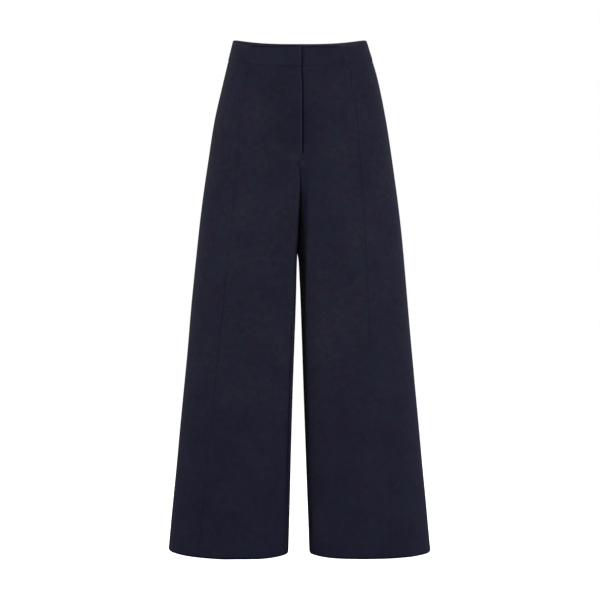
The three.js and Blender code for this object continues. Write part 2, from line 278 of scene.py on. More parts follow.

# %% [markdown]
# Creases
# Worn cloth isn't smooth. It falls from the hips in long soft folds, pulls a little from the crotch
# towards the thighs, and keeps shallow waves above the hem. They could come from a cloth
# simulation, but a smooth matte cloth like this one shows only a few creases, each in a known
# place, so they are given one by one: each row below is one crease, as a soft trough or ridge
# between two points of the front or back. No two have the same length, breadth or height.

# %% The creases
CREASES = {
    # top distance and level, bottom distance and level, breadth, height
    ("right", "front"): [
        (95, -330, 97, -830, 44, -3.2),
        (55, -290, 50, -560, 46, 2.4),
        (128, -560, 136, -1060, 58, 2.6),
        (62, -640, 58, -1040, 42, -1.6),
        (168, -420, 182, -860, 34, -1.5),
        (30, -225, 66, -300, 16, 0.9),
        (20, -238, 46, -330, 13, -0.9),
        (70, -150, 28, -196, 20, 0.6),
        (74, -176, 30, -212, 22, -0.7),
        (30, -196, -1, -201, 6, 0.5),
        (15, -124, 14, -190, 7, 0.2),
    ],
    ("left", "front"): [
        (151, -240, 156, -660, 40, -3.0),
        (78, -300, 84, -700, 52, 2.0),
        (110, -420, 112, -1020, 46, 2.2),
        (68, -520, 60, -1080, 50, -2.0),
        (178, -520, 200, -1000, 36, 1.6),
        (40, -262, 66, -372, 20, -0.9),
        (26, -232, 58, -302, 15, 0.8),
        (4, -100, 3, -198, 62, -1.9),
    ],
    ("right", "back"): [
        (88, -270, 108, -800, 48, -3.4),
        (136, -300, 150, -620, 40, 2.4),
        (58, -420, 52, -1040, 44, 1.9),
        (168, -520, 192, -1000, 40, -1.8),
        (30, -262, 74, -336, 18, 1.1),
        (24, -284, 64, -372, 17, -1.0),
    ],
    ("left", "back"): [
        (96, -280, 112, -740, 50, -3.0),
        (52, -330, 66, -850, 44, 2.2),
        (150, -460, 166, -1060, 46, 2.1),
        (28, -268, 78, -352, 19, -1.1),
        (22, -296, 58, -392, 18, 0.9),
        (184, -600, 206, -940, 34, -1.4),
    ],
}


def crease_height(side, face, x, level):
    """How far the creases lift the cloth at a distance from the centre line and a level."""
    height = np.zeros_like(x)
    for top_x, top_level, bottom_x, bottom_level, breadth, rise in CREASES[side, face]:
        run = np.array([bottom_x - top_x, bottom_level - top_level], dtype=float)
        length = np.hypot(*run)
        down = ((x - top_x) * run[0] + (level - top_level) * run[1]) / length**2
        across = ((x - top_x) * run[1] - (level - top_level) * run[0]) / (length * breadth)
        inside = (down > 0) & (down < 1) & (np.abs(across) < 0.5)
        along = np.sin(math.pi * np.clip(down, 0, 1)).clip(0) ** 0.7
        height += np.where(inside, rise * np.cos(math.pi * across) ** 2 * along, 0)
    return height


print(sum(len(creases) for creases in CREASES.values()), "creases")

# %% [markdown]
# The net
# The next step works out a close net of points over each side, with the direction that faces
# outwards at each point. Every panel is then cut out of the net by two seams, so neighbours meet
# exactly. Distances round the net are lengths of cloth, as a tape laid on it would give them.

# %% Small waves of the surface
WAVE_HEIGHT = 0.5
WAVE_LENGTHS = Vector((1 / 46, 1 / 46, 1 / 105))
# Distance from the centre line within which the waves fade out, and from a seam within which both
# of its sides come to face the same way
WAVE_FADE = (2, 26)
SHARED_EDGE = (0, 9)


def surface_wave(places):
    """A slight unevenness that no woven cloth is without, fading out where the legs touch."""
    wave = np.array([[noise.noise(Vector(place) * WAVE_LENGTHS) for place in line] for line in places])
    return WAVE_HEIGHT * wave * soft_share(*WAVE_FADE, np.abs(places[..., 0]))


# %% A net over one side
def unit(directions):
    return directions / np.linalg.norm(directions, axis=-1, keepdims=True)


def round_side(front, back):
    """Joins the columns of a front and a back, which both run outwards, into one way round."""
    return np.concatenate([front, back[:, -2::-1]], axis=1)


class Net:
    """The outer face of one side of the garment, from the centre front round to the centre back."""

    def __init__(self, side, levels):
        faces = {}
        for face in FACING:
            x, y = section(side, face, levels[face])
            y = y + FACING[face] * crease_height(side, face, x, levels[face])
            faces[face] = np.stack([DIRECTION[side] * x, y, levels[face]], axis=-1)
        self.side = side
        self.rolled = np.concatenate([hem_roll(), hem_roll()[-2::-1]])
        self.points = round_side(**faces)
        across = np.gradient(self.points, axis=1)
        down = np.gradient(self.points, axis=0)
        outward = np.cross(across, down) * -DIRECTION[side]
        steps = np.linalg.norm(np.diff(self.points, axis=1), axis=2)
        self.lengths = np.pad(np.cumsum(steps, axis=1), ((0, 0), (1, 0)))
        self.outward = self.share_directions(unit(outward))
        self.points = self.points + self.outward * self.unevenness(levels)[..., None]
        self.front_middle = self.lengths[:, QUARTER_STEPS]
        self.side_seam = self.lengths[:, 2 * QUARTER_STEPS]
        self.back_middle = self.lengths[:, 3 * QUARTER_STEPS]
        self.end = self.lengths[:, -1]
        self.start_way = unit(self.points[:, 1] - self.points[:, 0])
        self.end_way = unit(self.points[:, -1] - self.points[:, -2])
        self.panel_seam = self.find_panel_seam()

    def unevenness(self, levels):
        """How far each point stands out: the small waves, less the roll of the hem."""
        height = round_side(**{face: levels[face] - hem_edge(self.side) for face in FACING})
        return surface_wave(self.points) - ROLL_DEPTH * self.rolled * (1 - share(0, ROLL_HEIGHT, height)) ** 2

    def share_directions(self, outward):
        """Makes both sides of the centre seams, and both edges of an inseam, face the same way."""
        first, last = outward[:, 0] * [0, 1, 1], outward[:, -1] * [0, 1, 1]
        on_leg = self.points[:, 0, 2] < CROTCH
        inseam = outward[:, 0] + outward[:, -1]
        first[on_leg], last[on_leg] = inseam[on_leg], inseam[on_leg]
        near_first = 1 - soft_share(*SHARED_EDGE, self.lengths)[..., None]
        near_last = 1 - soft_share(*SHARED_EDGE, self.lengths[:, -1:] - self.lengths)[..., None]
        outward = outward + (unit(first)[:, None] - outward) * near_first
        return unit(outward + (unit(last)[:, None] - outward) * near_last)

    def find_panel_seam(self):
        seam = []
        outer_front = slice(QUARTER_STEPS, 2 * QUARTER_STEPS + 1)
        for line, lengths in zip(self.points[:, outer_front], self.lengths[:, outer_front]):
            past = np.abs(line[:, 0]) - table_value(PANEL_SEAMS, self.side, line[:, 2])
            seam.append(np.interp(0, past, lengths))
        return np.array(seam)

    def at(self, lengths):
        """Places and outward directions at distances round the cloth, a row of them for each row."""
        places, outward = (np.stack([
            np.stack([np.interp(row, known, line[:, axis]) for axis in range(3)], axis=-1)
            for row, known, line in zip(lengths, self.lengths, values)
        ]) for values in (self.points, self.outward))
        before = np.minimum(lengths, 0)[..., None]
        after = np.maximum(lengths - self.end[:, None], 0)[..., None]
        places += self.start_way[:, None] * before + self.end_way[:, None] * after
        return places, unit(outward)


# %% Rows of the panels
# Distances from a seam at which its columns and rows lie, with how deep they dip and their tones
SEAM_STEPS = np.array([0.04, 0.3, 0.8, 1.8, 3.6])
SEAM_DIPS = np.array([0.30, 0.10, 0.03, 0.0, 0.0])
FOLD_DIPS = np.array([0.58, 0.24, 0.06, 0.0, 0.0])
SEAM_TONES = np.array([-1.0, -0.75, -0.3, 0.0, 0.0])
# A folded edge is drawn paler, partly as wear and partly as a painted highlight on the fold
FOLD_WEAR_AND_HIGHLIGHT = np.array([0.2, 0.8, 1.0, 0.7, 0.0])
FLY_END = CURVE_START + 5
HEM_RADIUS = 1.0
# Painted shade on the bottom of the hem, where it rolls under and faces away from the lamps
HEM_ROLL_SHADE = -1.0
HEM_HEIGHTS = np.array([30, 23.5, 17, 11, 7, 4.8, 3.2, 2.0])
LEG_LENGTH = CROTCH - SIDE_HEM["right"]
ROW_SPACING = 4.4
CURVE_ROWS = np.arange(22) / 22
LEG_ROWS = np.arange(122) / 122


def even(start, end, spacing):
    """Values from start up to, but not on, end, about one spacing apart."""
    count = max(round(abs(end - start) / spacing), 1)
    return start + (end - start) * np.arange(count) / count


body_levels = np.concatenate([
    FRONT_WAIST - SEAM_STEPS[:-1],
    even(FRONT_WAIST - SEAM_STEPS[-1], FLY_END, ROW_SPACING),
    even(FLY_END, CURVE_START, ROW_SPACING / 2),
    CURVE_START + (CROTCH - CURVE_START) * np.sin(CURVE_ROWS * math.pi / 2),
])
upper_leg = LEG_LENGTH * (1 - LEG_ROWS**1.25)
leg_heights = np.concatenate([upper_leg[upper_leg > HEM_HEIGHTS[0] + 4], HEM_HEIGHTS, [HEM_RADIUS]])
body_drops = (FRONT_WAIST - body_levels) / (FRONT_WAIST - CROTCH)
leg_drops = 1 - leg_heights / LEG_LENGTH
print(len(body_drops), "rows on the body and", len(leg_drops), "on the leg")


def panel_levels(side):
    """Heights of the panels' rows at each way round the front and the back."""
    levels = {}
    for face in FACING:
        waist = waist_line(face)
        body = waist + (CROTCH - waist) * body_drops[:, None]
        leg = CROTCH + (hem_edge(side) - CROTCH) * leg_drops[:, None]
        levels[face] = np.vstack([body, leg])
    return levels


panel_nets = {side: Net(side, panel_levels(side)) for side in DIRECTION}
for side, net in panel_nets.items():
    print(f"{side} leg: half hip {net.end.max():.0f} mm, hem round {net.end[-1]:.0f} mm")

# %% [markdown]
# Columns
# A panel's columns run down the cloth between two seams. Close to a seam they crowd together,
# because a pressed seam is a groove only half a millimetre deep, and between the seams they spread
# out. Near the crotch the columns also have to follow the bend of the cloth round the inner leg,
# or the bend would look jagged, so there they are drawn halfway towards the ways of the net.

# %% Columns of a panel
INNER_COLUMNS = 34


class Columns:
    """Columns of one panel: their distance round the net, how deep they dip, and their tone."""

    def __init__(self, net):
        self.net = net
        self.lengths, self.dips, self.tones = [], [], []

    def add(self, lengths, dips=0.0, tones=0.0):
        for kept, values in ((self.lengths, lengths), (self.dips, dips), (self.tones, tones)):
            kept.append(np.broadcast_to(values, len(self.net.end)))

    def beside(self, edge, inward, dips, tones):
        """Columns beside an edge. inward is 1 if the panel lies past it, and otherwise -1."""
        for step in range(len(SEAM_STEPS))[::inward]:
            self.add(edge + inward * SEAM_STEPS[step], dips[step], tones[step])

    def seam(self, edge, inward, folded=0.0, strength=1.0, pale=0.0):
        """Columns beside a seam or a folded edge.

        Where pale is 1 the seam's edge is worn and shows lighter than the cloth, not darker."""
        def blend(plain, folds):
            """Values of a plain seam on their way to those of a folded edge."""
            return [value + (fold - value) * folded for value, fold in zip(plain, folds)]

        dips = blend([dip * strength for dip in SEAM_DIPS], FOLD_DIPS)
        tones = blend([tone * strength * (1 - 2 * pale) for tone in SEAM_TONES], FOLD_WEAR_AND_HIGHLIGHT)
        self.beside(edge, inward, dips, tones)

    def spread(self, start, end, spacing):
        """Columns between two others, both left out."""
        count = max(round(float(np.mean(end - start)) / spacing), 2)
        for step in range(1, count):
            self.add(start + (end - start) * step / count)

    def inner(self, edge, middle, way_lengths, turn):
        """Columns from a centre edge to the middle of the cloth, which follow its bend."""
        reach = np.abs(way_lengths - way_lengths[:, :1])
        for step in range(1, INNER_COLUMNS):
            way_share = reach[:, step * QUARTER_STEPS // INNER_COLUMNS] / reach[:, -1]
            blended = step / INNER_COLUMNS + (way_share - step / INNER_COLUMNS) * 0.5 * turn
            self.add(edge + (middle - edge) * blended)

    def arrays(self):
        return (np.stack(values, axis=1) for values in (self.lengths, self.dips, self.tones))


# %% [markdown]
# The fly
# The right front ends in a folded edge that laps over the left front, and the left front carries
# on underneath it. The lap is held down only by the zip behind it, so it stands a little off the
# cloth below and throws the fine dark line that runs down from the waist, and a painted shade on
# the left front beside the lap makes that line darker. It narrows where the waistband is joined on
# and ends above the curve of the centre seam.

# %% Laps of the fly
LAP = 4.1
LAP_AT_BAND = 2.4
BAND_LAP = 2.4
UNDERLAP = 7
LAP_FORMED = -76
LAP_LIFT = 1.8
LIFT_REACH = (6, 44)
BAND_LIFT = 2.7
BAND_LIFT_REACH = (6, 52)
# How far the left front sinks beside the lap, and the distances past the lap where it rises again
# and its painted shade fades out
VALLEY_DEPTH = 3.4
VALLEY_REACH = (0.78, 3.38)
# How closely the strength of a seam changes along it, the least that each seam keeps, and how worn
# the panel seams of the lower legs are
SEAM_WANDER = 0.045
CENTRE_SEAM_LEAST = 0.7
PANEL_SEAM_LEAST = 0.35
SIDE_SEAM_LEAST = 0.6
WORN_SEAMS = {"right": 0.15, "left": 0.85}
WORN_LEVELS = (-430, -620)


def fly_rows(net):
    """For each row: whether the fly opens there, the edge of each side, and the lap's lift.

    An edge is a distance from the centre, less than nothing where the cloth passes it. Below the
    fly both edges are the seam, which runs back to the centre within the first centimetre."""
    level = net.points[:, 0, 2]
    opened = share(FLY_END - 2.5, FLY_END, level)
    lifted = soft_share(FLY_END - 9, FLY_END + 4, level)
    lap = LAP_AT_BAND + (LAP - LAP_AT_BAND) * soft_share(FRONT_WAIST, LAP_FORMED, level)
    seam_line = lap * soft_share(FLY_END - 12, FLY_END + 2, level)
    edges = {"right": -seam_line, "left": seam_line * (1 - opened) - UNDERLAP * opened}
    return opened, seam_line, edges[net.side], LAP_LIFT * lifted


def wander(place, closeness):
    """A number from 0 to 1 that changes slowly from place to place, so that nothing looks ruled."""
    return 0.5 + 0.5 * noise.noise(Vector(place) * closeness)


def uneven(net, lengths, low):
    """A strength of a seam for each row, which wanders between low and 1."""
    places, _ = net.at(lengths[:, None])
    return np.array([low + (1 - low) * wander(place, SEAM_WANDER) for place in places[:, 0]])


def worn_seam(net):
    """How worn the front panel seam is at each row: most of all on the left leg below the knee."""
    return WORN_SEAMS[net.side] * soft_share(*WORN_LEVELS, net.points[:, QUARTER_STEPS, 2])


for side, net in panel_nets.items():
    edge = fly_rows(net)[2]
    print(side, "front edge from", round(float(edge.min()), 1), "to", round(float(edge.max()), 1), "mm")

# %% Columns of the three panels of a side
BESIDE_SEAM = SEAM_STEPS[-1]
COLUMN_SPACING = 4.4
DART_TIP = -128
DART_PLACE = 0.52
DART_DEPTH = 0.42


def seam_turn(level):
    """The turn of the centre seam at each row. It is whole all the way down the leg."""
    return np.where(np.arange(len(level)) < len(body_drops), centre_turn(level), 1.0)


def centre_front_columns(net):
    opened, _, edge, _ = fly_rows(net)
    level = net.points[:, 0, 2]
    pressed = 1 - 0.85 * soft_share(FLY_END - 40, FLY_END - 20, level)
    columns = Columns(net)
    columns.seam(edge, 1, folded=opened, strength=uneven(net, edge, CENTRE_SEAM_LEAST) * pressed)
    inner_lengths = net.lengths[:, :QUARTER_STEPS + 1]
    columns.inner(edge + BESIDE_SEAM, net.front_middle, inner_lengths, seam_turn(level))
    columns.add(net.front_middle)
    columns.spread(net.front_middle, net.panel_seam - BESIDE_SEAM, COLUMN_SPACING)
    strength = uneven(net, net.panel_seam, PANEL_SEAM_LEAST)
    columns.seam(net.panel_seam, -1, strength=strength, pale=worn_seam(net))
    return columns


def side_front_columns(net):
    columns = Columns(net)
    strength = uneven(net, net.panel_seam, PANEL_SEAM_LEAST)
    columns.seam(net.panel_seam, 1, strength=strength, pale=worn_seam(net))
    columns.spread(net.panel_seam + BESIDE_SEAM, net.side_seam - BESIDE_SEAM, COLUMN_SPACING)
    columns.seam(net.side_seam, -1, strength=uneven(net, net.side_seam, SIDE_SEAM_LEAST))
    return columns


def back_columns(net):
    level = net.points[:, 3 * QUARTER_STEPS, 2]
    dart = net.side_seam + DART_PLACE * (net.back_middle - net.side_seam)
    depth = share(DART_TIP, DART_TIP + 60, level) * (np.arange(len(level)) < len(body_drops))
    columns = Columns(net)
    columns.seam(net.side_seam, 1, strength=uneven(net, net.side_seam, SIDE_SEAM_LEAST))
    columns.spread(net.side_seam + BESIDE_SEAM, dart - BESIDE_SEAM, COLUMN_SPACING)
    columns.seam(dart - SEAM_STEPS[0], -1, strength=depth)
    columns.add(dart, DART_DEPTH * depth, -depth)
    columns.seam(dart + SEAM_STEPS[0], 1, strength=depth)
    columns.spread(dart + BESIDE_SEAM, net.back_middle, COLUMN_SPACING)
    columns.add(net.back_middle)
    inner = Columns(net)
    inner_lengths = net.lengths[:, :3 * QUARTER_STEPS - 1:-1]
    inner.inner(net.end - BESIDE_SEAM, net.back_middle, inner_lengths, seam_turn(level))
    columns.lengths += inner.lengths[::-1]
    columns.dips += inner.dips[::-1]
    columns.tones += inner.tones[::-1]
    columns.seam(net.end, -1, strength=uneven(net, net.end, CENTRE_SEAM_LEAST))
    return columns


# %% [markdown]
# From flat grid to cloth
# Each panel starts as a flat grid, one square for each cell of the net between its seams, as cloth
# lies on the cutting table. Every point of the grid remembers its row and column and is carried to
# its place on the body. The grid runs on past the hem: there it turns round the fold and up the
# inside, as a sewn hem does. The seam edges are then extruded and turned under the panel, which
# gives the allowances of a seam that is pressed open. A modifier gives the cloth its thickness.

# %% Lay a grid of cloth in its place
CLOTH_THICKNESS = 0.6


def folded_places(places, outward, dips, rows, fold_down):
    """Places of a grid whose rows may turn round a fold. rows has an index, depth, sink and turn each."""
    index, depth, sink, turn = (np.array(values) for values in zip(*rows))
    index = index.astype(int)
    fold_way = np.array([0, 0, -1.0 if fold_down else 1.0])
    cos, sin = np.cos(turn)[:, None, None], np.sin(turn)[:, None, None]
    dip = dips[index][..., None]
    result = places[index] - outward[index] * (depth[:, None, None] + dip * cos)
    return result + fold_way * (sink[:, None, None] - dip * sin)


def cut_lengths(places):
    """Distances across and down the flat cut, from the middle column and the top row."""
    across = np.linalg.norm(np.diff(places, axis=1), axis=2)
    across = np.pad(np.cumsum(across, axis=1), ((0, 0), (1, 0)))
    across -= across[:, across.shape[1] // 2, None]
    down = np.linalg.norm(np.diff(places, axis=0), axis=2)
    down = np.pad(np.cumsum(down, axis=0), ((1, 0), (0, 0)))
    return across, down


def lay_cloth(places, tones):
    """A flat grid whose points are carried to their places. The mesh keeps rows, columns and cut."""
    row_count, column_count = places.shape[:2]
    across, down = cut_lengths(places)
    bm = bmesh.new()
    row_of, column_of = (bm.verts.layers.int.new(name) for name in ("row", "column"))
    measures = {"across": across, "down": down, "edge_tone": tones}
    layers = [(bm.verts.layers.float.new(name), values) for name, values in measures.items()]
    bmesh.ops.create_grid(bm, x_segments=column_count - 1, y_segments=row_count - 1, size=0.5)
    for vert in bm.verts:
        vert[column_of] = column = round((vert.co.x + 0.5) * (column_count - 1))
        vert[row_of] = row = round((0.5 - vert.co.y) * (row_count - 1))
        for layer, values in layers:
            vert[layer] = values[row, column]
        vert.co = Vector(places[row, column]) * MM
    return bm


# %% Turn the edges under
def grid_layers(bm):
    """The layers in which every point keeps its row and its column."""
    return bm.verts.layers.int["row"], bm.verts.layers.int["column"]


def turn_under(bm, chosen, steps, axis="across"):
    """Extrudes the chosen edges again and again. Each step is a function of row and column, and a length."""
    row_of, column_of = grid_layers(bm)
    cut_of, tone_of = bm.verts.layers.float[axis], bm.verts.layers.float["edge_tone"]
    edges = chosen
    for place_of, length in steps:
        made = bmesh.ops.extrude_edge_only(bm, edges=edges)["geom"]
        verts = {item for item in made if isinstance(item, bmesh.types.BMVert)}
        for vert in verts:
            vert.co = Vector(place_of(vert[row_of], vert[column_of])) * MM
            vert[cut_of] += length
            vert[tone_of] = 0.0
        edges = [
            item for item in made
            if isinstance(item, bmesh.types.BMEdge) and all(vert in verts for vert in item.verts)
        ]


def border(bm, rows=None, columns=None):
    """Edges on the border whose two ends lie in the given rows and columns."""
    row_of, column_of = grid_layers(bm)
    return [
        edge for edge in bm.edges
        if edge.is_boundary
        and all(rows is None or rows[0] <= vert[row_of] <= rows[1] for vert in edge.verts)
        and all(columns is None or columns[0] <= vert[column_of] <= columns[1] for vert in edge.verts)
    ]


def tucked_steps(edge, outward, depths, rise, way):
    """Steps that tuck an edge behind the cloth and then up. way is -1 where the cut starts at the edge."""
    risen = np.array([0, 0, rise])
    return [
        (lambda row, column: edge[column] - outward[column] * depths[0], way * depths[0]),
        (lambda row, column: edge[column] - outward[column] * depths[1] + risen, way * rise),
    ]


# %% Finish a piece of cloth
def face_outwards(bm, places, outward):
    """Makes the faces agree, and turns them all round if they face the body."""
    bmesh.ops.recalc_face_normals(bm, faces=bm.faces[:])
    row_of, column_of = grid_layers(bm)
    middle_row, middle_column = places.shape[0] // 3, places.shape[1] // 2
    agree = 0.0
    for face in bm.faces:
        vert = face.verts[0]
        if vert[row_of] == middle_row and abs(vert[column_of] - middle_column) < 3:
            agree += face.normal.dot(Vector(outward[middle_row, middle_column]))
    if agree < 0:
        bmesh.ops.reverse_faces(bm, faces=bm.faces[:])


def put_in_scene(name, data):
    """Makes an object of some data and links it, at the origin."""
    made = bpy.data.objects.new(name, data)
    bpy.context.scene.collection.objects.link(made)
    return made


def finish_cloth(name, bm):
    """Writes the cut as a UV map in metres and makes the object, with the thickness as a modifier."""
    across_of, down_of = bm.verts.layers.float["across"], bm.verts.layers.float["down"]
    cut = bm.loops.layers.uv.new("cut")
    for face in bm.faces:
        face.smooth = True
        for loop in face.loops:
            loop[cut].uv = (loop.vert[across_of] * MM, -loop.vert[down_of] * MM)
    mesh = bpy.data.meshes.new(name)
    bm.to_mesh(mesh)
    bm.free()
    piece = put_in_scene(name, mesh)
    thickness = piece.modifiers.new("thickness", "SOLIDIFY")
    thickness.thickness = CLOTH_THICKNESS * MM
    thickness.offset = -1
    return piece


# %% [markdown]
# Marks of sewing, and painted shade and light
# Seams leave small darker marks on a plain cloth, worn places small paler ones, and the front is a
# trace darker round the fly. Painted shade in the hollows by the fly, the crotch, the inner legs and
# the hem, and painted light on a few folds and strips, are made in the same way. They could be
# painted as a picture, but each has a known place, so each is a short sum of distances. The sum gives
# every point of the grid a tone: less than nothing where a seam sinks or shade is painted, and more
# where the cloth is worn pale or light is painted.

# %% Marks of the waist seam and of the front by the fly
WAIST_MARKS = ((-6, 15, 0.5), (-52, -24, 0.2), (88, 124, 0.25))
# Middle, breadth, bottom, top and tone of two marks in front, each fading between two values: a
# darker area round the fly, and a painted highlight on the pucker that the bar tack pulls at the
# fly's end
FLY_DARKER_AREA = (-12, (4, 78), (-250, -170), (-80, -20), -0.42)
TACK_HIGHLIGHT = (-9, (7, 14), (-207, -201), (-195, -189), 0.6)


def waist_strength(places):
    """How much the waist seam shows along its length. It is pressed flat but for a few places."""
    strength = np.empty(len(places))
    for index, (x, y, _) in enumerate(places):
        strength[index] = 0.02 + 0.07 * wander((x, y, 0), 0.03) + 0.3 * soft_share(-40, 40, y)
        for start, end, mark in WAIST_MARKS:
            if y < 0:
                middle, half = (start + end) / 2, (end - start) / 2
                strength[index] += mark * (1 - soft_share(0.7 * half, half + 3, abs(x - middle)))
    return np.minimum(strength, 1)


def front_mark(places, middle, breadth, bottom, top, tone):
    """A trace of darker or paler tone on a part of the front."""
    x, y, level = np.moveaxis(places, -1, 0)
    beside = 1 - soft_share(*breadth, np.abs(x - middle))
    return tone * beside * soft_share(*bottom, level) * (1 - soft_share(*top, level)) * (y < 0)


# %% Painted shade and light at the inner legs and the crotch
EDGE_SHADE_TONE = -1.6
LINE_BREADTH = (0.4, 1.6)
# The cloth past the left leg's line gets a little painted light too, up to 40 mm from the edge
BESIDE_LIGHT_TONE = {"right": 0, "left": 0.7}
BESIDE_END = (16, 40)
# Of each line: distance from the edge, upper end, lower end, and strength of the painted light on
# the strip beside it
INNER_LINES = {"right": (5.4, -470, -830, 2.6), "left": (4.6, -790, -880, 2.6)}
CREASE_SHADE_FADE = (0.7, 1.12)
CREASE_SHADE = table(
    "level breadth strength",
    (-190, 24, 0),
    (-211, 23, 0.35),
    (-239, 19, 0.6),
    (-253, 17, 0.9),
    (-267, 16.5, 1.3),
    (-309, 15.5, 1.4),
    (-337, 14.5, 1.4),
    (-365, 13.5, 1.4),
    (-395, 12.5, 1.2),
    (-440, 12, 0.8),
    (-500, 12, 0),
)


def inner_edge_shade_and_light(places, side):
    """Painted shade on a thin line inside each leg's inner edge in front, and painted light on a strip beside
    it.
    """
    where, start, end, pale = INNER_LINES[side]
    across = DIRECTION[side] * places[..., 0]
    inset = across - across.min(axis=1, keepdims=True)
    height = soft_share(start, start - 40, places[..., 2]) * (1 - soft_share(end + 30, end, places[..., 2]))
    line = 1 - soft_share(*LINE_BREADTH, np.abs(inset - where))
    beyond = soft_share(0.1 * where, 0.35 * where, inset) * (1 - soft_share(0.4 * where, 0.75 * where, inset))
    beside = soft_share(1.3 * where, 2.2 * where, inset) * (1 - soft_share(*BESIDE_END, inset))
    return height * (pale * beyond + EDGE_SHADE_TONE * line + BESIDE_LIGHT_TONE[side] * beside)


def crease_shade(places):
    """A painted shade on the left front beside the crease, where the cloth turns in more slowly."""
    breadth, strength = (table_value(CREASE_SHADE, name, places[..., 2]) for name in ("breadth", "strength"))
    near = 1 - soft_share(*CREASE_SHADE_FADE, places[..., 0] / breadth)
    return -strength * near * (places[..., 1] < 0)


# %% [markdown]
# The six panels
# Two centre fronts, two side fronts and two backs. Their rows start at the waist seam, where the
# edge goes on up between the two layers of the waistband, and end 30 mm up inside the hem. Each
# could be modelled by hand, but all six are cut out of the two nets by one function, so every seam
# has the same finish on both sides and neighbours can't drift apart.

# %% Rows round the hem
LAST_ROW = len(body_drops) + len(leg_drops) - 1
FOLD_TURNS = np.radians([30, 60, 90, 120, 150, 180])


def layer_rows(rows, depth=0.0, turn=0.0):
    """Rows on one layer of the cloth: the row of the net, and the depth, sink and turn of each."""
    return [(row, depth, 0.0, turn) for row in rows]


def fold_rows(row, radius, turns):
    """The same for the rows that go round a fold from one row of the net."""
    return [(row, radius * (1 - math.cos(turn)), radius * math.sin(turn), turn) for turn in turns]


inside_hem = range(LAST_ROW - 1, LAST_ROW - 1 - len(HEM_HEIGHTS), -1)
PANEL_ROWS = (
    layer_rows(range(LAST_ROW + 1)) + fold_rows(LAST_ROW, HEM_RADIUS, FOLD_TURNS)
    + layer_rows(inside_hem, 2 * HEM_RADIUS, math.pi)
)
print("each panel has", len(PANEL_ROWS), "rows, of which", len(inside_hem), "lie inside the hem")


# %% Edges of the panels
# Distance past the edge and depth of each step of a turned seam, and of one that passes the seam
ALLOWANCE_STEPS = ((0.35, 0.95), (0.6, 1.28), (4.0, 1.3), (10.0, 1.3))
PASSING_STEPS = ((-0.42, 0.92), (-0.3, 1.3), (4.0, 1.36), (10.0, 1.36))
TONE_LIMITS = (-1.6, 5)
BAND_TONE_LIMITS = (-1.7, 5)


def lap_lift(net, lengths, lift):
    """How far the lapping side of the fly stands off, most at its edge."""
    if net.side != "right":
        return np.zeros_like(lengths)
    return lift[:, None] * (1 - soft_share(*LIFT_REACH, lengths))


def allowance(net, edge, inward, passing, lift):
    """Steps that turn a seam edge under: places in each row, and how much cloth each one takes.

    Where passing is 1 the fold goes a trace past the seam, under the neighbour, so no light
    comes through between them."""
    made = []
    taken = 0.0
    for (inset, depth), (passing_inset, passing_depth) in zip(ALLOWANCE_STEPS, PASSING_STEPS):
        lengths = (edge + inward * (inset + (passing_inset - inset) * passing))[:, None]
        places, outward = net.at(lengths)
        places[..., 1] -= lap_lift(net, lengths, lift)
        turned = places[:, 0] - outward[:, 0] * (depth + (passing_depth - depth) * passing)[:, None]
        made.append((lambda row, column, turned=turned: turned[row], -inward * max(inset - taken, 0.6)))
        taken = inset
    return made


def fly_valley_and_shade(net, places):
    """How far the left front sinks beside and below the lap, and the painted shade that darkens it there."""
    opened, seam_line, _, _ = fly_rows(net)
    past_lap = places[..., 0] - seam_line[:, None]
    sunk = (1 - soft_share(*VALLEY_REACH, past_lap)) * opened[:, None]
    return VALLEY_DEPTH * sunk, -sunk


def is_on_grid(edge, laid):
    """Whether an edge belongs to the first row of the grid itself and not to a turned allowance."""
    ends = [np.array(vert.co) / MM for vert in edge.verts]
    return all(np.abs(laid[0] - point).sum(axis=1).min() < 0.01 for point in ends)


# %% Make a panel
def make_panel(name, net, columns, edges, passing, lift):
    """A panel of cloth between two seams. edges gives the distance of each round the net."""
    lengths, dips, tones = columns.arrays()
    places, outward = net.at(lengths)
    places[..., 1] -= lap_lift(net, lengths, lift)
    if name == "centre_front_left_panel":
        # The left front sinks beside the lap, and a painted shade darkens it there
        depth, tone = fly_valley_and_shade(net, places)
        dips = dips + depth
        tones = np.minimum(tones, tone)
    tones = tones + front_mark(places, *FLY_DARKER_AREA)
    if name.startswith("centre_front"):
        # Painted shade and light along the leg's inner edge, and a painted highlight on the bar tack's pucker
        tones = tones + inner_edge_shade_and_light(places, net.side) + front_mark(places, *TACK_HIGHLIGHT)
    if name == "centre_front_left_panel":
        # A painted shade beside the crease at the crotch
        tones = tones + crease_shade(places)
    waist = waist_strength(places[0])
    dips[:len(SEAM_STEPS)] += SEAM_DIPS[:, None] * waist
    tones[:len(SEAM_STEPS)] += SEAM_TONES[:, None] * waist
    laid = folded_places(places, outward, dips, PANEL_ROWS, fold_down=True)
    index = np.array([row[0] for row in PANEL_ROWS])
    laid_tones = tones[index]
    # The rows round the bottom of the hem get the painted shade where the hem rolls under
    rolled = np.interp(lengths[LAST_ROW], net.lengths[LAST_ROW], net.rolled)
    laid_tones[LAST_ROW - 1:LAST_ROW + len(FOLD_TURNS)] += HEM_ROLL_SHADE * rolled
    bm = lay_cloth(laid, np.clip(laid_tones, *TONE_LIMITS))
    held = lift * fly_rows(net)[0]
    for edge, passed, column, inward in zip(edges, passing, (0, lengths.shape[1] - 1), (1, -1)):
        side_edge = border(bm, (0, LAST_ROW), (column, column))
        turn_under(bm, side_edge, allowance(net, edge, inward, passed, held))
    top = [edge for edge in border(bm, (0, 0)) if edge.calc_length() > 0.02 * MM and is_on_grid(edge, laid)]
    turn_under(bm, top, tucked_steps(laid[0], outward[0], (0.6, 0.75), 4.0, -1), axis="down")
    face_outwards(bm, laid, outward[index])
    return finish_cloth(name, bm), laid


# %% Record a piece and work out its flat size
SEAM_ALLOWANCE = 10
cloth_pieces = {}


